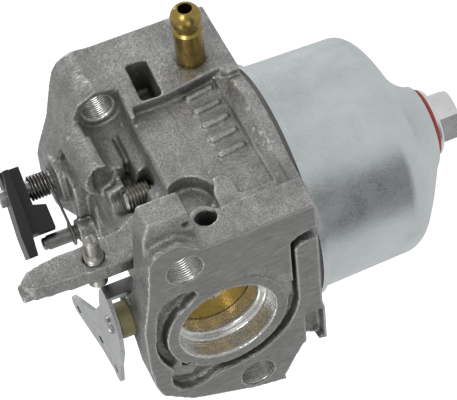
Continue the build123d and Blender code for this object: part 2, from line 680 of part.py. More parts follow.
tab_x, tab_y0, tab_y1, tab_drop = 9.7, 8.8, 12.2, 7.4
lobe_rise = radians(8.0)
fold = Vector(22.0, 1.8, 0).normalized()
lobe_up = Vector(-fold.Y * cos(lobe_rise), fold.X * cos(lobe_rise), sin(lobe_rise))
lobe_plane = Plane(origin=(-22.0, 14.6, lever_z), x_dir=fold, z_dir=fold.cross(lobe_up))
with BuildPart() as throttle_lever:
    with BuildSketch(Plane.XY.offset(lever_z)) as lever_sketch:
        with BuildLine():
            Polyline((tab_x, tab_y0), (5.6, 5.4), (1.6, 4.6), (-4.7, 5.4), (-13.0, 8.6), (-19.8, 10.2))
            ThreePointArc((-19.8, 10.2), (-22.1, 11.8), (-22.0, 14.6))
            Polyline((-22.0, 14.6), (0.0, 16.4), (5.6, 14.6), (tab_x, tab_y1), (tab_x, tab_y0))
        make_face()
        with Locations((0, throttle_y)):
            Circle(1.95, mode=Mode.SUBTRACT)
        with Locations((-18.6, 12.4)):
            Circle(0.95, mode=Mode.SUBTRACT)
    extrude(amount=lever_t)
    # the outer lobe with its link holes bends away from the body
    with BuildSketch(lobe_plane):
        with BuildLine():
            Polyline((0.0, -0.4), (2.6, 4.9), (4.2, 14.0))
            ThreePointArc((4.2, 14.0), (5.9, 16.6), (8.7, 16.1))
            Polyline((8.7, 16.1), (14.5, 4.8), (21.6, -0.4), (0.0, -0.4))
        make_face()
        with Locations((6.2, 4.0), (6.5, 13.8)):
            Circle(0.95, mode=Mode.SUBTRACT)
    extrude(amount=lever_t)
    with BuildSketch(FUEL_SIDE.offset(tab_x)):
        Polygon((tab_y0, lever_z + lever_t), (tab_y1, lever_z + lever_t),
                (tab_y1, lever_z + lever_t - tab_drop + 0.9), (tab_y0, lever_z + lever_t - tab_drop),
                align=None)
    extrude(amount=-lever_t)
write(throttle_lever.part, "throttle_lever")

with BuildPart() as bush:
    with BuildSketch(Plane.XY.offset(12.2)):
        with Locations((0, throttle_y)):
            Circle(3.7)
            Circle(shaft_r + shaft_gap, mode=Mode.SUBTRACT)
    extrude(amount=lever_z - 0.3 - 12.2)
    chamfer(bush.edges().group_by(Axis.Z)[-1].sort_by(SortBy.LENGTH)[-1], 0.4)
write(bush.part, "throttle_shaft_bush")

with BuildPart() as seal:
    with BuildSketch(Plane.XY.offset(11.0)):
        with Locations((0, throttle_y)):
            Circle(3.7)
            Circle(shaft_r + 0.1, mode=Mode.SUBTRACT)
    extrude(amount=1.2)
write(seal.part, "throttle_shaft_seal")

thread_pitch = 0.7
screw_end, screw_head = 9.75, 20.0
with BuildPart() as idle_screw:
    with BuildSketch(Plane.XY.offset(screw_z)):
        with BuildLine():
            flank = [(screw_end, screw_y), (screw_end, screw_y + 1.3)]
            turns = int((screw_head - screw_end - 1.0) / thread_pitch)
            for turn in range(turns):
                foot = screw_end + 0.5 + turn * thread_pitch
                flank += [(foot, screw_y + 1.62), (foot + thread_pitch / 2, screw_y + 2.0)]
            flank += [(screw_head - 0.4, screw_y + 1.6), (screw_head + 2.9, screw_y + 1.6),
                      (screw_head + 3.5, screw_y + 1.1), (screw_head + 3.7, screw_y)]
            Polyline(*flank, close=True)
        make_face()
    revolve(axis=Axis((0, screw_y, screw_z), (1, 0, 0)))
    with BuildSketch(FUEL_SIDE.offset(screw_head + 3.1)):
        with Locations((screw_y, screw_z)):
            Rectangle(4.0, 0.5)
    extrude(amount=1.0, mode=Mode.SUBTRACT)
write(idle_screw.part, "idle_speed_screw")


with BuildPart() as mixture_screw:
    with BuildSketch(Plane.XZ.offset(-mixture_y)):
        with BuildLine():
            flank = [(mixture_x, 1.0), (mixture_x + 1.25, 1.0), (mixture_x + 1.25, 4.2)]
            for turn in range(8):
                foot = 4.4 + turn * thread_pitch
                flank += [(mixture_x + 2.05, foot), (mixture_x + mixture_r, foot + thread_pitch / 2)]
            flank += [(mixture_x + 2.0, 10.1), (mixture_x, 10.1)]
            Polyline(*flank, close=True)
        make_face()
    revolve(axis=Axis((mixture_x, mixture_y, 0), (0, 0, 1)))
    with BuildSketch(Plane.XY.offset(9.4)):
        with Locations((mixture_x, mixture_y)):
            Rectangle(6.0, 0.6)
    extrude(amount=1.0, mode=Mode.SUBTRACT)
write(mixture_screw.part, "mixture_screw")


# --- choke --------------------------------------------------------------------------------------
lever_base = 25.0
shaft_step = 19.2             # the choke shaft is thinner above this, inside its spring
with BuildPart() as choke_shaft:
    with BuildSketch(Plane.XY.offset(-12.4)):
        with Locations((0, choke_y)):
            Circle(shaft_r)
    extrude(amount=12.4 + shaft_step)
    with BuildSketch(Plane.XY.offset(shaft_step)):
        with Locations((0, choke_y)):
            Circle(1.9)
    extrude(amount=lever_base - shaft_step)
    with BuildSketch(Plane.XY.offset(lever_base)):
        with Locations((0, choke_y)):
            Circle(1.9)
        with Locations((0, choke_y - 2.4)):
            Rectangle(4.0, 1.8, mode=Mode.SUBTRACT)
    extrude(amount=5.8)
    with BuildSketch(Plane.YZ.offset(0.0)):
        with Locations((choke_y, 0)):
            Rectangle(2 * shaft_r + 1.0, 2 * intake_r)
    extrude(amount=shaft_r + 0.5, mode=Mode.SUBTRACT)
    with BuildSketch(Plane.YZ.offset(1.0)):
        with Locations((choke_y, -3.6), (choke_y, 3.6)):
            Circle(1.25)
    extrude(amount=-5.0, mode=Mode.SUBTRACT)
write(choke_shaft.part, "choke_shaft")

with BuildPart() as choke_plate:
    with BuildSketch(Plane.YZ):
        with Locations((choke_y, 0)):
            Circle(9.2)
        with Locations((choke_y, -3.6), (choke_y, 3.6)):
            Circle(1.3, mode=Mode.SUBTRACT)
        with Locations((choke_y + 5.8, 0)):
            Circle(1.4, mode=Mode.SUBTRACT)
    extrude(amount=plate_t)
write(choke_plate.part, "choke_plate")

with BuildPart() as choke_screws:
    for screw_height in (-3.6, 3.6):
        with BuildSketch(Plane.YZ.offset(plate_t)):
            with Locations((choke_y, screw_height)):
                Circle(2.1)
        extrude(amount=1.0)
        with BuildSketch(Plane.YZ.offset(plate_t + 0.5)):
            with Locations((choke_y, screw_height)):
                Rectangle(5.0, 0.55)
        extrude(amount=0.6, mode=Mode.SUBTRACT)
        with BuildSketch(Plane.YZ.offset(plate_t)):
            with Locations((choke_y, screw_height)):
                Circle(1.2)
        extrude(amount=-3.0)
write(choke_screws.part, "choke_plate_screws")

# The lever is drawn in its own upright plane: local x runs along the arm, local y is +Z.
arm = Vector(-0.616, -0.788, 0).normalized()
lever_plane = Plane(origin=(0, choke_y, 0), x_dir=arm, z_dir=arm.cross(Vector(0, 0, 1)))
with BuildPart() as choke_lever:
    with BuildSketch(lever_plane.offset(-3.4)) as block_sketch:
        Polygon((-5.2, lever_base), (3.4, lever_base), (4.2, 22.3), (10.2, 22.1), (10.2, 29.4),
                (-5.2, 29.4), align=None)
    extrude(amount=6.8)
    with BuildSketch(Plane.XY.offset(20.0)):
        with Locations((0, choke_y)):
            Circle(15.0)
            Circle(9.9, mode=Mode.SUBTRACT)
    extrude(amount=12.0, mode=Mode.SUBTRACT)
    with BuildSketch(lever_plane.offset(-6.6)) as arm_sketch:
        Polygon((-5.2, 27.6), (9.0, 27.6), (13.8, 28.0), (13.8, 29.9), (9.0, 30.0), (-1.0, 29.4),
                (-5.2, 28.8), align=None)
    extrude(amount=9.4)
    with BuildSketch(Plane.XY.offset(lever_base - 1.0)):
        with Locations((0, choke_y)):
            Circle(1.95)
        with Locations((0, choke_y - 2.4)):
            Rectangle(4.0, 1.7, mode=Mode.SUBTRACT)
    extrude(amount=8.0, mode=Mode.SUBTRACT)
    with BuildSketch(Plane.XY.offset(lever_base - 1.0)):
        with Locations((0.788 * 2.42, choke_y - 0.616 * 2.42)):
            Circle(0.6)
    extrude(amount=3.6, mode=Mode.SUBTRACT)
write(choke_lever.part, "choke_lever")

spring_r, wire_r, spring_pitch, spring_turns = 2.42, 0.3, 0.72, 6.0
spring_low, loop_z, loop_r = 19.95, 18.9, 2.3
spring_plane = Plane(origin=(0, choke_y, spring_low), x_dir=Vector(0.788, -0.616, 0), z_dir=(0, 0, 1))
coil = spring_plane * Helix(pitch=spring_pitch, height=spring_pitch * spring_turns, radius=spring_r)
leg_end = Vector(pin_x + 0.788 * loop_r, pin_y - 0.616 * loop_r, loop_z)
with BuildPart() as choke_spring:
    with BuildSketch(Plane(origin=coil @ 0, z_dir=coil % 0)):
        Circle(wire_r)
    sweep(path=coil, is_frenet=True)
    # the low leg ends in a loop round the stop pin, the high end turns up into the lever
    with BuildSketch(Plane(origin=coil @ 0, z_dir=leg_end - (coil @ 0))):
        Circle(wire_r)
    extrude(amount=(leg_end - (coil @ 0)).length)
    with BuildSketch(Plane.XZ.offset(-pin_y)):
        with Locations((pin_x + loop_r, loop_z)):
            Circle(wire_r)
    revolve(axis=Axis((pin_x, pin_y, 0), (0, 0, 1)))
    with BuildSketch(Plane(origin=(coil @ 1) - Vector(0, 0, 0.1), z_dir=(0, 0, 1))):
        Circle(wire_r)
    extrude(amount=2.6)
write(choke_spring.part, "choke_spring")

with BuildPart() as stop_pin:
    with BuildSketch(Plane.XY.offset(9.2)):
        with Locations((pin_x, pin_y)):
            Circle(stop_pin_r)
    extrude(amount=16.4)
    with BuildSketch(Plane.XY.offset(24.4)):
        with Locations((pin_x, pin_y)):
            Circle(2.4)
            Circle(stop_pin_r - 0.25, mode=Mode.SUBTRACT)
    extrude(amount=2.0, mode=Mode.SUBTRACT)
    chamfer(stop_pin.edges().group_by(Axis.Z)[-1], 0.3)
write(stop_pin.part, "choke_stop_pin")

with BuildPart() as choke_seal:
    with BuildSketch(Plane.XY.offset(17.3)):
        with Locations((0, choke_y)):
            Circle(3.05)
            Circle(shaft_r + 0.1, mode=Mode.SUBTRACT)
    extrude(amount=1.8)
write(choke_seal.part, "choke_shaft_seal")

with BuildPart() as plug:
    with BuildSketch(FUEL_SIDE.offset(-15.3)):
        with Locations((30.0, -12.0)):
            Circle(3.95)
    extrude(amount=-0.9)
write(plug.part, "expansion_plug")
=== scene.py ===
"""Small-engine float carburetor: looks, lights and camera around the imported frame."""

import json
import math

import bpy
import numpy as np
from mathutils import Matrix, Vector, noise


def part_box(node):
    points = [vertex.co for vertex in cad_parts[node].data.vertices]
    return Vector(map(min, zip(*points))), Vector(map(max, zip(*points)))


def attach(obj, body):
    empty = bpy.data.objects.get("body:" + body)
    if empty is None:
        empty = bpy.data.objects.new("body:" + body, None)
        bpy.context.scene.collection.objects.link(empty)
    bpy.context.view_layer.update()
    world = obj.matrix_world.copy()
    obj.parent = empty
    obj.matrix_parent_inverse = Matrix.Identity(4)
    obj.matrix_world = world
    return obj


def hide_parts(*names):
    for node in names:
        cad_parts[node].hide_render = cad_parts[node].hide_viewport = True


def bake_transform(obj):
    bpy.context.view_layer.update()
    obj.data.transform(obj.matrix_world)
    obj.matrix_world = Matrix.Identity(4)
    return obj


MM = 0.001
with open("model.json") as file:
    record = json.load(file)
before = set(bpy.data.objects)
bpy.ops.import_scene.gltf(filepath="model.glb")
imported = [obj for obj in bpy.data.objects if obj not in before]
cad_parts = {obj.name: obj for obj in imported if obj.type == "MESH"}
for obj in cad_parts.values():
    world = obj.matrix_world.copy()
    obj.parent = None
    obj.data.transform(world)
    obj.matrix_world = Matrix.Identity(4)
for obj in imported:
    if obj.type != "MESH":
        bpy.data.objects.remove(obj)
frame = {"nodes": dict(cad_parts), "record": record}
nodes = frame["nodes"]
slots = {row["node"]: row["material_slot"] for row in frame["record"]["subparts"]}
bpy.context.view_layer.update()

# places on the casting, in millimetres; its bore runs along Y from the engine face at y = 0
FAR_FACE = 60.0
BORE_RADIUS = 10.25
STUD_RADIUS = 3.6
STUD_CENTRES = ((21.1, 7.37), (-21.1, -5.07))  # x and z
MILL_CENTRE = (34.0, -60.0)  # x and z of the middle of the milling cutter's arcs

# colours
CAST_GREY = (0.40, 0.40, 0.39)
# painted shade: near black for the occluded corners and for the dips of the casting
PAINTED_CORNER_SHADE = (0.075, 0.07, 0.06)
PAINTED_DIP_SHADE = (0.09, 0.085, 0.075)
BORE_DULL = (0.50, 0.50, 0.48)
BORE_BRIGHT = (0.80, 0.80, 0.78)
RUST = (0.34, 0.20, 0.07)
ZINC = (0.73, 0.78, 0.79)
STEEL = (0.50, 0.50, 0.49)
BRASS = (0.62, 0.41, 0.13)


def tone(color, factor):
    """The colour made darker or lighter."""
    return tuple(min(1.0, c * factor) for c in color)


# --- node helpers -------------------------------------------------------------------------------
class Shader:
    """A material's node tree with short ways to add nodes."""

    def __init__(self, name, color, metallic, roughness):
        self.material = bpy.data.materials.new(name)
        self.material.use_nodes = True
        self.tree = self.material.node_tree
        self.bsdf = self.tree.nodes["Principled BSDF"]
        self.bsdf.inputs["Metallic"].default_value = metallic
        self.bsdf.inputs["Roughness"].default_value = roughness
        self.bsdf.inputs["Base Color"].default_value = (*color, 1)
        self.coords = self.node("ShaderNodeTexCoord").outputs["Object"]

    def node(self, kind, **values):
        made = self.tree.nodes.new(kind)
        for key, value in values.items():
            setattr(made, key, value)
        return made

    def link(self, a, b):
        self.tree.links.new(a, b)

    def feed(self, socket, value):
        """Links an output to the socket, or sets a number or a colour on it."""
        if isinstance(value, tuple):
            socket.default_value = (*value, 1)
        elif isinstance(value, (int, float)):
            socket.default_value = value
        else:
            self.link(value, socket)

    def mapped(self, scale):
        """Object coordinates, in metres, times the scale along each axis."""
        mapping = self.node("ShaderNodeMapping")
        mapping.inputs["Scale"].default_value = scale
        self.link(self.coords, mapping.inputs["Vector"])
        return mapping.outputs["Vector"]

    def noise(self, size_mm, detail=3.0, rough=0.55, stretch=(1, 1, 1), distortion=0.0):
        """Noise with features of about size_mm, drawn out along axes with stretch above 1."""
        scale = [1 / (size_mm * MM * s) for s in stretch]
        tex = self.node("ShaderNodeTexNoise")
        tex.inputs["Scale"].default_value = 1.0
        tex.inputs["Detail"].default_value = detail
        tex.inputs["Roughness"].default_value = rough
        tex.inputs["Distortion"].default_value = distortion
        self.link(self.mapped(scale), tex.inputs["Vector"])
        return tex.outputs["Fac"]

    def cells(self, size_mm):
        """Distance to the nearest of points that are scattered about size_mm apart."""
        tex = self.node("ShaderNodeTexVoronoi")
        tex.inputs["Scale"].default_value = 1.0
        self.link(self.mapped([1 / (size_mm * MM)] * 3), tex.inputs["Vector"])
        return tex.outputs["Distance"]

    def math(self, operation, a, b=0.0, clamp=False):
        made = self.node("ShaderNodeMath", operation=operation, use_clamp=clamp)
        self.feed(made.inputs[0], a)
        self.feed(made.inputs[1], b)
        return made.outputs[0]

    def spread(self, value, low, high, to_low=0.0, to_high=1.0):
        """Maps low..high to to_low..to_high, and holds the ends outside it."""
        made = self.node("ShaderNodeMapRange")
        made.inputs["From Min"].default_value = low
        made.inputs["From Max"].default_value = high
        made.inputs["To Min"].default_value = to_low
        made.inputs["To Max"].default_value = to_high
        self.link(value, made.inputs["Value"])
        return made.outputs["Result"]

    def mix(self, factor, a, b):
        """Colour a where the factor is 0, colour b where it is 1."""
        made = self.node("ShaderNodeMix", data_type="RGBA")
        self.feed(made.inputs["Factor"], factor)
        self.feed(made.inputs["A"], a)
        self.feed(made.inputs["B"], b)
        return made.outputs["Result"]

    def edges(self, radius_mm, low=0.02, high=0.25):
        """1 on sharp edges, 0 on flats."""
        bevel = self.node("ShaderNodeBevel", samples=4)
        bevel.inputs["Radius"].default_value = radius_mm * MM
        geometry = self.node("ShaderNodeNewGeometry")
        dot = self.node("ShaderNodeVectorMath", operation="DOT_PRODUCT")
        self.link(bevel.outputs["Normal"], dot.inputs[0])
        self.link(geometry.outputs["Normal"], dot.inputs[1])
        return self.spread(self.math("SUBTRACT", 1.0, dot.outputs["Value"]), low, high)

    def axis_value(self, axis):
        split = self.node("ShaderNodeSeparateXYZ")
        self.link(self.coords, split.inputs["Vector"])
        return split.outputs[axis]

    def distance(self, centre_mm, axes):
        """Distance in metres from a line through centre_mm, measured along the two axes."""
        squares = []
        for axis, middle in zip(axes, centre_mm):
            offset = self.math("SUBTRACT", self.axis_value(axis), middle * MM)
            squares.append(self.math("MULTIPLY", offset, offset))
        return self.math("SQRT", self.math("ADD", *squares))

    def rings(self, value, pitch_mm):
        """Wave from 0 to 1 that repeats every pitch_mm of the value."""
        turns = self.math("MULTIPLY", value, 2 * math.pi / (pitch_mm * MM))
        return self.math("ADD", self.math("MULTIPLY", self.math("SINE", turns), 0.5), 0.5)

    def crevices(self, reach_mm):
        """1 in the open, towards 0 in corners and hollows."""
        shade = self.node("ShaderNodeAmbientOcclusion", samples=6)
        shade.inputs["Distance"].default_value = reach_mm * MM
        return shade.outputs["AO"]

    def curvature(self, low, high, to_low=0.0, to_high=1.0):
        """Follows how far a dense mesh bulges (above 0.5) or dips (below 0.5) at each point."""
        geometry = self.node("ShaderNodeNewGeometry")
        return self.spread(geometry.outputs["Pointiness"], low, high, to_low, to_high)

    def color(self, value):
        self.link(value, self.bsdf.inputs["Base Color"])

    def roughness(self, value):
        self.link(value, self.bsdf.inputs["Roughness"])

    def mottled_roughness(self, a, b, limits):
        """Roughness between the two limits, by the mean of two noises."""
        mean = self.math("MULTIPLY", self.math("ADD", a, b), 0.5)
        self.roughness(self.spread(mean, 0.35, 0.65, *limits))

    def bump(self, *layers):
        """Layers of (height 0..1, depth in mm), added up."""
        total = None
        for height, depth in layers:
            scaled = self.math("MULTIPLY", height, depth * MM)
            total = scaled if total is None else self.math("ADD", total, scaled)
        made = self.node("ShaderNodeBump")
        made.inputs["Strength"].default_value = 1.0
        made.inputs["Distance"].default_value = 1.0
        self.link(total, made.inputs["Height"])
        self.link(made.outputs["Normal"], self.bsdf.inputs["Normal"])


# --- materials ----------------------------------------------------------------------------------
def machined_masks(s):
    """Masks of the two flange faces, of the bore and of the stud holes."""
    along = s.axis_value("Y")
    near = s.spread(along, 0.1 * MM, 0.3 * MM, 1.0, 0.0)
    far = s.spread(along, (FAR_FACE - 0.3) * MM, (FAR_FACE - 0.1) * MM)
    from_axis = s.distance((0.0, 0.0), ("X", "Z"))
    bore = s.spread(from_axis, (BORE_RADIUS + 0.15) * MM, (BORE_RADIUS + 0.45) * MM, 1.0, 0.0)
    holes = 0.0
    for centre in STUD_CENTRES:
        reach = s.distance(centre, ("X", "Z"))
        hole = s.spread(reach, (STUD_RADIUS + 0.02) * MM, (STUD_RADIUS + 0.14) * MM, 1.0, 0.0)
        holes = s.math("MAXIMUM", holes, hole)
    return s.math("MAXIMUM", near, far), bore, holes


def cast_color(s, blotch, speck, flow):
    """As-cast skin: blotches, specks, flow marks and bright ridges, with painted highlight flecks
    and painted shade in corners and dips.
    """
    # painted highlight: random bright flecks that stand in for light catching the metal
    painted_glint = s.noise(0.3, 1.0, 0.5)
    base = s.mix(s.spread(blotch, 0.33, 0.68), tone(CAST_GREY, 0.66), tone(CAST_GREY, 1.14))
    base = s.mix(s.spread(speck, 0.40, 0.62, 0.0, 0.70), base, tone(CAST_GREY, 0.40))
    base = s.mix(s.spread(flow, 0.52, 0.74, 0.0, 0.45), base, tone(CAST_GREY, 1.45))
    base = s.mix(s.spread(painted_glint, 0.66, 0.74, 0.0, 0.5), base, tone(CAST_GREY, 1.9))
    # painted shade: darker where ambient occlusion finds corners and hollows
    base = s.mix(s.spread(s.crevices(4.0), 0.25, 0.90, 0.78, 0.0), base, PAINTED_CORNER_SHADE)
    # painted shade in the dips and creases of the dense mesh
    base = s.mix(s.curvature(0.40, 0.485, 0.65, 0.0), base, PAINTED_DIP_SHADE)
    return s.mix(s.curvature(0.515, 0.62, 0.0, 0.55), base, tone(CAST_GREY, 1.8))


def milled_color(s, blotch, mill, scuffed):
    """Flange face with the arcs of the cutter, brightest along its edges."""
    base = s.mix(s.spread(scuffed, 0.35, 0.68), tone(CAST_GREY, 0.50), tone(CAST_GREY, 0.80))
    base = s.mix(s.spread(blotch, 0.45, 0.7, 0.0, 0.5), base, tone(CAST_GREY, 0.45))
    base = s.mix(s.math("MULTIPLY", mill, 0.25), base, tone(CAST_GREY, 0.42))
    return s.mix(s.curvature(0.51, 0.58, 0.0, 0.8), base, tone(CAST_GREY, 1.9))


def cast_alloy():
    """Die-cast alloy with machined flange faces, bore and stud holes."""
    s = Shader("cast_alloy", CAST_GREY, 0.82, 0.5)
    blotch = s.noise(7.0, 4.0, 0.62)
    speck = s.noise(0.42, 2.0, 0.75)
    flow = s.noise(2.2, 3.0, 0.65, (1.0, 2.2, 1.0), 0.8)
    scuffed = s.noise(0.9, 4.0, 0.7, (1.0, 1.0, 3.0))
    mill = s.rings(s.distance(MILL_CENTRE, ("X", "Z")), 0.42)
    lathe = s.rings(s.axis_value("Y"), 0.55)
    face, bore, holes = machined_masks(s)
    inside = s.math("MAXIMUM", bore, holes)
    raw = s.math("SUBTRACT", 1.0, s.math("MAXIMUM", face, inside, clamp=True))

    base = s.mix(face, cast_color(s, blotch, speck, flow), milled_color(s, blotch, mill, scuffed))
    polished = s.mix(s.spread(scuffed, 0.3, 0.7), BORE_DULL, BORE_BRIGHT)
    s.color(s.mix(s.math("MAXIMUM", bore, s.math("MULTIPLY", holes, 0.75)), base, polished))

    grain = s.math("ADD", s.math("MULTIPLY", speck, 0.6), s.math("MULTIPLY", blotch, 0.4))
    rough = s.spread(grain, 0.35, 0.65, 0.30, 0.52)
    rough = s.math("SUBTRACT", rough, s.math("MULTIPLY", face, 0.08))
    s.roughness(s.math("SUBTRACT", rough, s.math("MULTIPLY", inside, 0.16)))

    pits = s.spread(s.cells(1.1), 0.0, 0.22)
    layers = [(speck, raw, 0.12), (s.noise(1.3, 2.0), raw, 0.14), (flow, raw, 0.20),
              (pits, raw, 0.035), (mill, face, 0.010), (lathe, bore, 0.008),
              (lathe, holes, 0.05), (scuffed, face, 0.02)]
    s.bump(*((s.math("MULTIPLY", height, where), depth) for height, where, depth in layers))
    return s.material


def plated_steel(name, color, grain=(1, 1, 4), rough=(0.24, 0.36), depth=0.006):
    """Bright zinc plate over drawn steel, slightly frosted and mottled."""
    s = Shader(name, color, 1.0, rough[0])
    cloud = s.noise(9.0, 3.0, 0.6)
    drawn = s.noise(0.20, 2.0, 0.6, grain)
    frost = s.noise(0.16, 1.0, 0.7)
    mottle = s.noise(1.6, 3.0, 0.7)
    waves = s.noise(6.0, 2.0)
    base = s.mix(s.spread(cloud, 0.3, 0.7), tone(color, 0.86), tone(color, 1.06))
    base = s.mix(s.spread(drawn, 0.45, 0.7, 0.0, 0.30), base, tone(color, 1.22))
    base = s.mix(s.spread(mottle, 0.50, 0.75, 0.0, 0.20), base, tone(color, 0.85))
    s.color(s.mix(s.math("MULTIPLY", s.edges(0.35, 0.03, 0.3), 0.4), base, tone(color, 1.3)))
    s.mottled_roughness(drawn, cloud, rough)
    s.bump((drawn, depth), (frost, depth * 1.2), (mottle, depth * 2), (waves, depth * 10))
    return s.material


def turned_metal(name, color, axis, pitch_mm, rough=(0.22, 0.36)):
    """Fine lathe rings along an axis, with tarnish, handling wear and painted shade in hollows."""
    s = Shader(name, color, 1.0, rough[0])
    rings = s.rings(s.axis_value(axis), pitch_mm)
    tarnish = s.noise(2.0, 4.0, 0.7)
    scuff = s.noise(0.4, 2.0, 0.7)
    base = s.mix(s.spread(tarnish, 0.35, 0.68), tone(color, 0.76), tone(color, 1.08))
    base = s.mix(s.spread(scuff, 0.5, 0.72, 0.0, 0.30), base, tone(color, 1.3))
    # painted shade: darker where ambient occlusion finds hollows
    base = s.mix(s.spread(s.crevices(1.5), 0.3, 0.9, 0.5, 0.0), base, tone(color, 0.22))
    s.color(s.mix(s.math("MULTIPLY", s.edges(0.2, 0.03, 0.3), 0.5), base, tone(color, 1.5)))
    dullness = s.math("ADD", s.math("MULTIPLY", tarnish, 0.7), s.math("MULTIPLY", rings, 0.15))
    s.roughness(s.spread(dullness, 0.25, 0.65, *rough))
    s.bump((rings, 0.006), (scuff, 0.014))
    return s.material


def moulded(name, color, rough=(0.34, 0.5), grain_mm=0.4, depth=0.02):
    """Moulded plastic or rubber with a fine grain and rubbed edges."""
    s = Shader(name, color, 0.0, rough[0])
    grain = s.noise(grain_mm, 2.0, 0.6)
    cloud = s.noise(5.0, 3.0)
    rubbed = tuple(min(1.0, c * 1.6 + 0.03) for c in color)
    base = s.mix(s.spread(cloud, 0.3, 0.7), tone(color, 0.8), tone(color, 1.25))
    s.color(s.mix(s.math("MULTIPLY", s.edges(0.35), 0.5), base, rubbed))
    s.mottled_roughness(grain, cloud, rough)
    s.bump((grain, depth), (cloud, depth * 4))
    return s.material


def fibrous(name, color, size_mm=0.35):
    """Pressed fibre or felt."""
    s = Shader(name, color, 0.0, 0.8)
    fibres = s.noise(size_mm, 3.0, 0.7, (3.0, 3.0, 0.6), 0.8)
    cloud = s.noise(2.0, 3.0)
    base = s.mix(s.spread(fibres, 0.35, 0.68), tone(color, 0.7), tone(color, 1.4))
    s.color(s.mix(s.spread(cloud, 0.4, 0.7, 0.0, 0.4), base, tone(color, 0.75)))
    s.roughness(s.spread(fibres, 0.3, 0.7, 0.62, 0.9))
    s.bump((fibres, 0.05))
    return s.material


def sheet_metal(name, color, rough=(0.26, 0.4), stained=0.0):
    """Rolled sheet with long scratches, and rust stains where stained is above 0."""
    s = Shader(name, color, 1.0, rough[0])
    rolled = s.noise(0.3, 3.0, 0.6, (12.0, 1.0, 1.0))
    cloud = s.noise(5.0, 4.0, 0.6)
    scratch = s.noise(0.25, 1.0, 0.5, (1.0, 22.0, 4.0))
    stain = s.noise(2.6, 4.0, 0.6)
    base = s.mix(s.spread(cloud, 0.3, 0.7), tone(color, 0.78), tone(color, 1.08))
    base = s.mix(s.spread(scratch, 0.62, 0.72, 0.0, 0.5), base, tone(color, 0.6))
    base = s.mix(s.spread(stain, 0.60, 0.72, 0.0, stained), base, RUST)
    s.color(s.mix(s.math("MULTIPLY", s.edges(0.25), 0.55), base, tone(color, 1.3)))
    s.mottled_roughness(rolled, cloud, rough)
    s.bump((rolled, 0.010), (cloud, 0.05), (scratch, 0.008))
    return s.material


materials = {
    "casting": cast_alloy(),
    "bowl_plate": plated_steel("zinc_plate", ZINC),
    "bolt_steel": plated_steel("bolt_zinc", (0.93, 0.94, 0.93), (1, 1, 1), (0.18, 0.3), 0.008),
    "gasket": moulded("nitrile_seal", (0.085, 0.082, 0.078), (0.5, 0.65), 0.3, 0.03),
    "red_fibre": fibrous("red_fibre", (0.26, 0.03, 0.025)),
    "jet_brass": turned_metal("jet_brass", BRASS, "Z", 0.12),
    "barb_brass": turned_metal("barb_brass", (0.42, 0.30, 0.09), "X", 0.16, (0.20, 0.32)),
    "plate_brass": sheet_metal("plate_brass", (0.58, 0.39, 0.10), (0.2, 0.34)),
    "float_plastic": moulded("float_plastic", (0.06, 0.055, 0.05)),
    "shaft_steel": turned_metal("ground_steel", STEEL, "Z", 0.1),
    "screw_steel": turned_metal("screw_steel", (0.50, 0.49, 0.45), "X", 0.13, (0.26, 0.42)),
    "needle_alloy": turned_metal("needle_alloy", (0.62, 0.62, 0.62), "Z", 0.1),
    "pin_alloy": turned_metal("pin_alloy", (0.33, 0.33, 0.32), "Z", 0.3, (0.38, 0.52)),
    "seal_rubber": moulded("seal_rubber", (0.05, 0.045, 0.04), (0.5, 0.65)),
    "seal_felt": fibrous("seal_felt", (0.14, 0.13, 0.11), 0.25),
    "lever_zinc": sheet_metal("lever_zinc", (0.56, 0.58, 0.58), (0.24, 0.38), 0.55),
    "bush_plastic": moulded("bush_plastic", (0.24, 0.21, 0.10), (0.3, 0.45)),
    "black_plastic": moulded("black_plastic", (0.010, 0.010, 0.010), (0.28, 0.42)),
    "spring_steel": turned_metal("spring_wire", (0.22, 0.21, 0.20), "Z", 0.2, (0.28, 0.4)),
}


# --- object helpers -----------------------------------------------------------------------------
def dress(obj, slot_name):
    """Gives an object the material of a slot."""
    obj.data.materials.clear()
    obj.data.materials.append(materials[slot_name])


def new_object(name, data):
    """Object in the scene that holds a mesh, a light or a camera."""
    made = bpy.data.objects.new(name, data)
    bpy.context.scene.collection.objects.link(made)
    return made


def shade_smooth(mesh):
    for polygon in mesh.polygons:
        polygon.use_smooth = True


def axis_of(node_name):
    """x and y of the middle of a node that stands along Z."""
    low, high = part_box(node_name)
    return (low[0] + high[0]) / 2, (low[1] + high[1]) / 2


for name, node in nodes.items():
    dress(node, slots[name])


# --- casting with the soft edges of a die casting -----------------------------------------------
def soft_casting(source, name, voxel_mm, rounds):
    """Copy of a node with one closed skin and its edges rounded off a little."""
    piece = new_object(name, source.data.copy())
    remesh = piece.modifiers.new("remesh", "REMESH")
    remesh.mode = "VOXEL"
    remesh.voxel_size = voxel_mm * MM
    remesh.use_smooth_shade = True
    smooth = piece.modifiers.new("smooth", "SMOOTH")
    smooth.factor = 0.5
    smooth.iterations = rounds
    depsgraph = bpy.context.evaluated_depsgraph_get()
    result = bpy.data.meshes.new_from_object(piece.evaluated_get(depsgraph))
    piece.modifiers.clear()
    piece.data = result
    shade_smooth(result)
    return piece


def vertex_vectors(mesh, name):
    """The place ("co") or the normal of each vertex, as the rows of an array."""
    flat = np.empty(3 * len(mesh.vertices))
    mesh.vertices.foreach_get(name, flat)
    return flat.reshape(-1, 3)


def is_machined(x, y, z):
    """Whether a place, in millimetres, is on a flange face, in the bore or in a stud hole."""
    on_face = y < 0.5 or y > FAR_FACE - 0.5
    in_bore = math.hypot(x, z) < BORE_RADIUS + 0.55
    in_hole = any(math.hypot(x - a, z - b) < STUD_RADIUS + 0.4 for a, b in STUD_CENTRES)
    return on_face or in_bore or in_hole


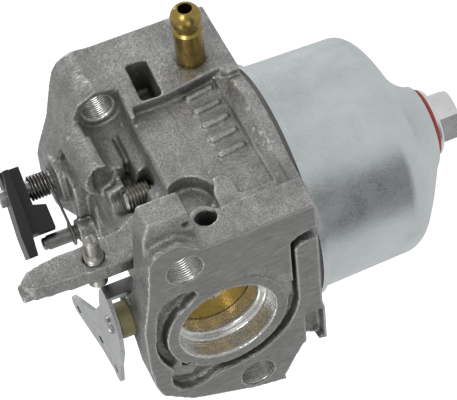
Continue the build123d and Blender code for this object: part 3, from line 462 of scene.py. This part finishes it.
def roughen(piece, depth_mm):
    """Moves the as-cast skin in and out a little; the machined faces and bores stay true."""
    waves = ((5.0, 0.7), (1.1, 0.3))  # size in millimetres and share of the depth
    mesh = piece.data
    places = vertex_vectors(mesh, "co")
    normals = vertex_vectors(mesh, "normal")
    for place, normal in zip(places, normals):
        point = Vector(place) / MM
        if not is_machined(*point):
            height = sum(share * noise.noise(point / size) for size, share in waves)
            place += normal * (depth_mm * MM * height)
    mesh.vertices.foreach_set("co", places.ravel())
    mesh.update()


casting = soft_casting(nodes["carburetor_body"], "die_cast_body", 0.36, 5)
roughen(casting, 0.12)
dress(casting, "casting")
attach(casting, "carburetor")
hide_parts("carburetor_body")


# --- choke return spring ------------------------------------------------------------------------
def winding_spring():
    """Copy of the coil with its place baked into its mesh, in place of the CAD spring."""
    piece = new_object("return_spring", nodes["choke_spring"].data.copy())
    dress(piece, "spring_steel")
    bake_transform(piece)
    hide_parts("choke_spring")


winding_spring()


# --- fibre washer under the bowl bolt -----------------------------------------------------------
def turned_mesh(name, centre, profile, sides):
    """Closed ring: a profile of (radius, height) points turned about a line along Z."""
    rows = len(profile)
    points = []
    faces = []
    for side in range(sides):
        turn = 2 * math.pi * side / sides
        for radius, height in profile:
            x = centre[0] + radius * math.cos(turn)
            y = centre[1] + radius * math.sin(turn)
            points.append((x, y, height))
        this = side * rows
        following = (side + 1) % sides * rows
        for row in range(rows):
            above = (row + 1) % rows
            faces.append((this + row, following + row, following + above, this + above))
    mesh = bpy.data.meshes.new(name)
    mesh.from_pydata(points, [], faces)
    shade_smooth(mesh)
    return mesh


def fibre_washer():
    """Pressed washer whose edge swells out past the bolt's flange."""
    low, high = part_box("bowl_bolt_washer")
    bottom = low[2]
    top = high[2]
    inner = 3.1 * MM
    outer = 7.75 * MM
    swell = 0.35 * MM
    steps = 8
    profile = [(inner, top), (inner, bottom)]
    for step in range(steps + 1):
        radius = outer - swell + swell * math.sin(math.pi * step / steps)
        profile.append((radius, bottom + (top - bottom) * step / steps))
    mesh = turned_mesh("fibre_washer", axis_of("bowl_bolt_washer"), profile, 96)
    piece = new_object("fibre_washer", mesh)
    dress(piece, "red_fibre")
    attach(piece, "carburetor")
    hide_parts("bowl_bolt_washer")


fibre_washer()


# --- floor, light and camera, in metres ---------------------------------------------------------
FLOOR_Z = -64.3 * MM
FLOOR_HALF = 6.0
LIGHT_TARGET = (0.0, 0.03, -0.01)
DARK_GAP = (0.05, -0.99, -0.12)  # direction of the middle of the dark gap
CAMERA_PLACE = (0.3429, -0.2391, 0.0756)
CAMERA_FORWARD = (-0.772, 0.603, -0.198)
CAMERA_RIGHT = (-0.073, -0.395, -0.916)


def studio_floor():
    """Pale floor that lights the object from below but isn't seen in its reflections."""
    mesh = bpy.data.meshes.new("floor")
    corners = [(-FLOOR_HALF, -FLOOR_HALF), (FLOOR_HALF, -FLOOR_HALF),
               (FLOOR_HALF, FLOOR_HALF), (-FLOOR_HALF, FLOOR_HALF)]
    mesh.from_pydata([(x, y, FLOOR_Z) for x, y in corners], [], [(0, 1, 2, 3)])
    floor = new_object("floor", mesh)
    s = Shader("pale_floor", (0.96, 0.96, 0.96), 0.0, 0.9)
    s.bsdf.inputs["Specular IOR Level"].default_value = 0.0
    s.bsdf.inputs["Emission Color"].default_value = (1, 1, 1, 1)
    s.bsdf.inputs["Emission Strength"].default_value = 0.55
    mesh.materials.append(s.material)
    floor.visible_glossy = False


def studio_world():
    """Pale all round, with a soft dark gap in front that shows as darker bands in bright metal."""
    world = bpy.data.worlds.new("studio")
    bpy.context.scene.world = world
    world.use_nodes = True
    tree = world.node_tree
    background = tree.nodes["Background"]
    background.inputs["Color"].default_value = (1, 1, 1, 1)
    aim = tree.nodes.new("ShaderNodeTexCoord")
    dot = tree.nodes.new("ShaderNodeVectorMath")
    dot.operation = "DOT_PRODUCT"
    dot.inputs[1].default_value = DARK_GAP
    strength = tree.nodes.new("ShaderNodeMapRange")
    strength.interpolation_type = "SMOOTHSTEP"
    levels = {"From Min": 0.74, "From Max": 1.0, "To Min": 0.62, "To Max": 0.08}
    for socket, value in levels.items():
        strength.inputs[socket].default_value = value
    tree.links.new(aim.outputs["Generated"], dot.inputs[0])
    tree.links.new(dot.outputs["Value"], strength.inputs["Value"])
    tree.links.new(strength.outputs["Result"], background.inputs["Strength"])


def area_light(name, place, size, power):
    """Square soft light that faces the object."""
    data = bpy.data.lights.new(name, "AREA")
    data.shape = "SQUARE"
    data.size = size
    data.energy = power
    light = new_object(name, data)
    light.location = place
    aim = Vector(LIGHT_TARGET) - Vector(place)
    light.rotation_euler = aim.to_track_quat("-Z", "Y").to_euler()


def studio_camera():
    data = bpy.data.cameras.new("camera")
    data.lens = 168.17
    data.sensor_width = 36.0
    data.clip_start = 0.01
    data.clip_end = 50.0
    camera = new_object("camera", data)
    forward = Vector(CAMERA_FORWARD).normalized()
    up = Vector(CAMERA_RIGHT).normalized().cross(forward).normalized()
    right = forward.cross(up).normalized()
    rotation = Matrix((right, up, -forward)).transposed().to_4x4()
    camera.matrix_world = Matrix.Translation(Vector(CAMERA_PLACE)) @ rotation
    bpy.context.scene.camera = camera


studio_floor()
studio_world()
area_light("key", (0.75, -0.35, 0.55), 0.34, 2.6)
area_light("front", (0.10, -0.95, 0.10), 0.50, 1.0)
area_light("rim", (0.25, 0.80, 0.10), 0.30, 1.4)
area_light("left", (-0.55, -0.35, 0.60), 0.45, 1.3)
studio_camera()
bpy.context.scene.view_settings.view_transform = "Standard"
bpy.context.scene.view_settings.look = "None"
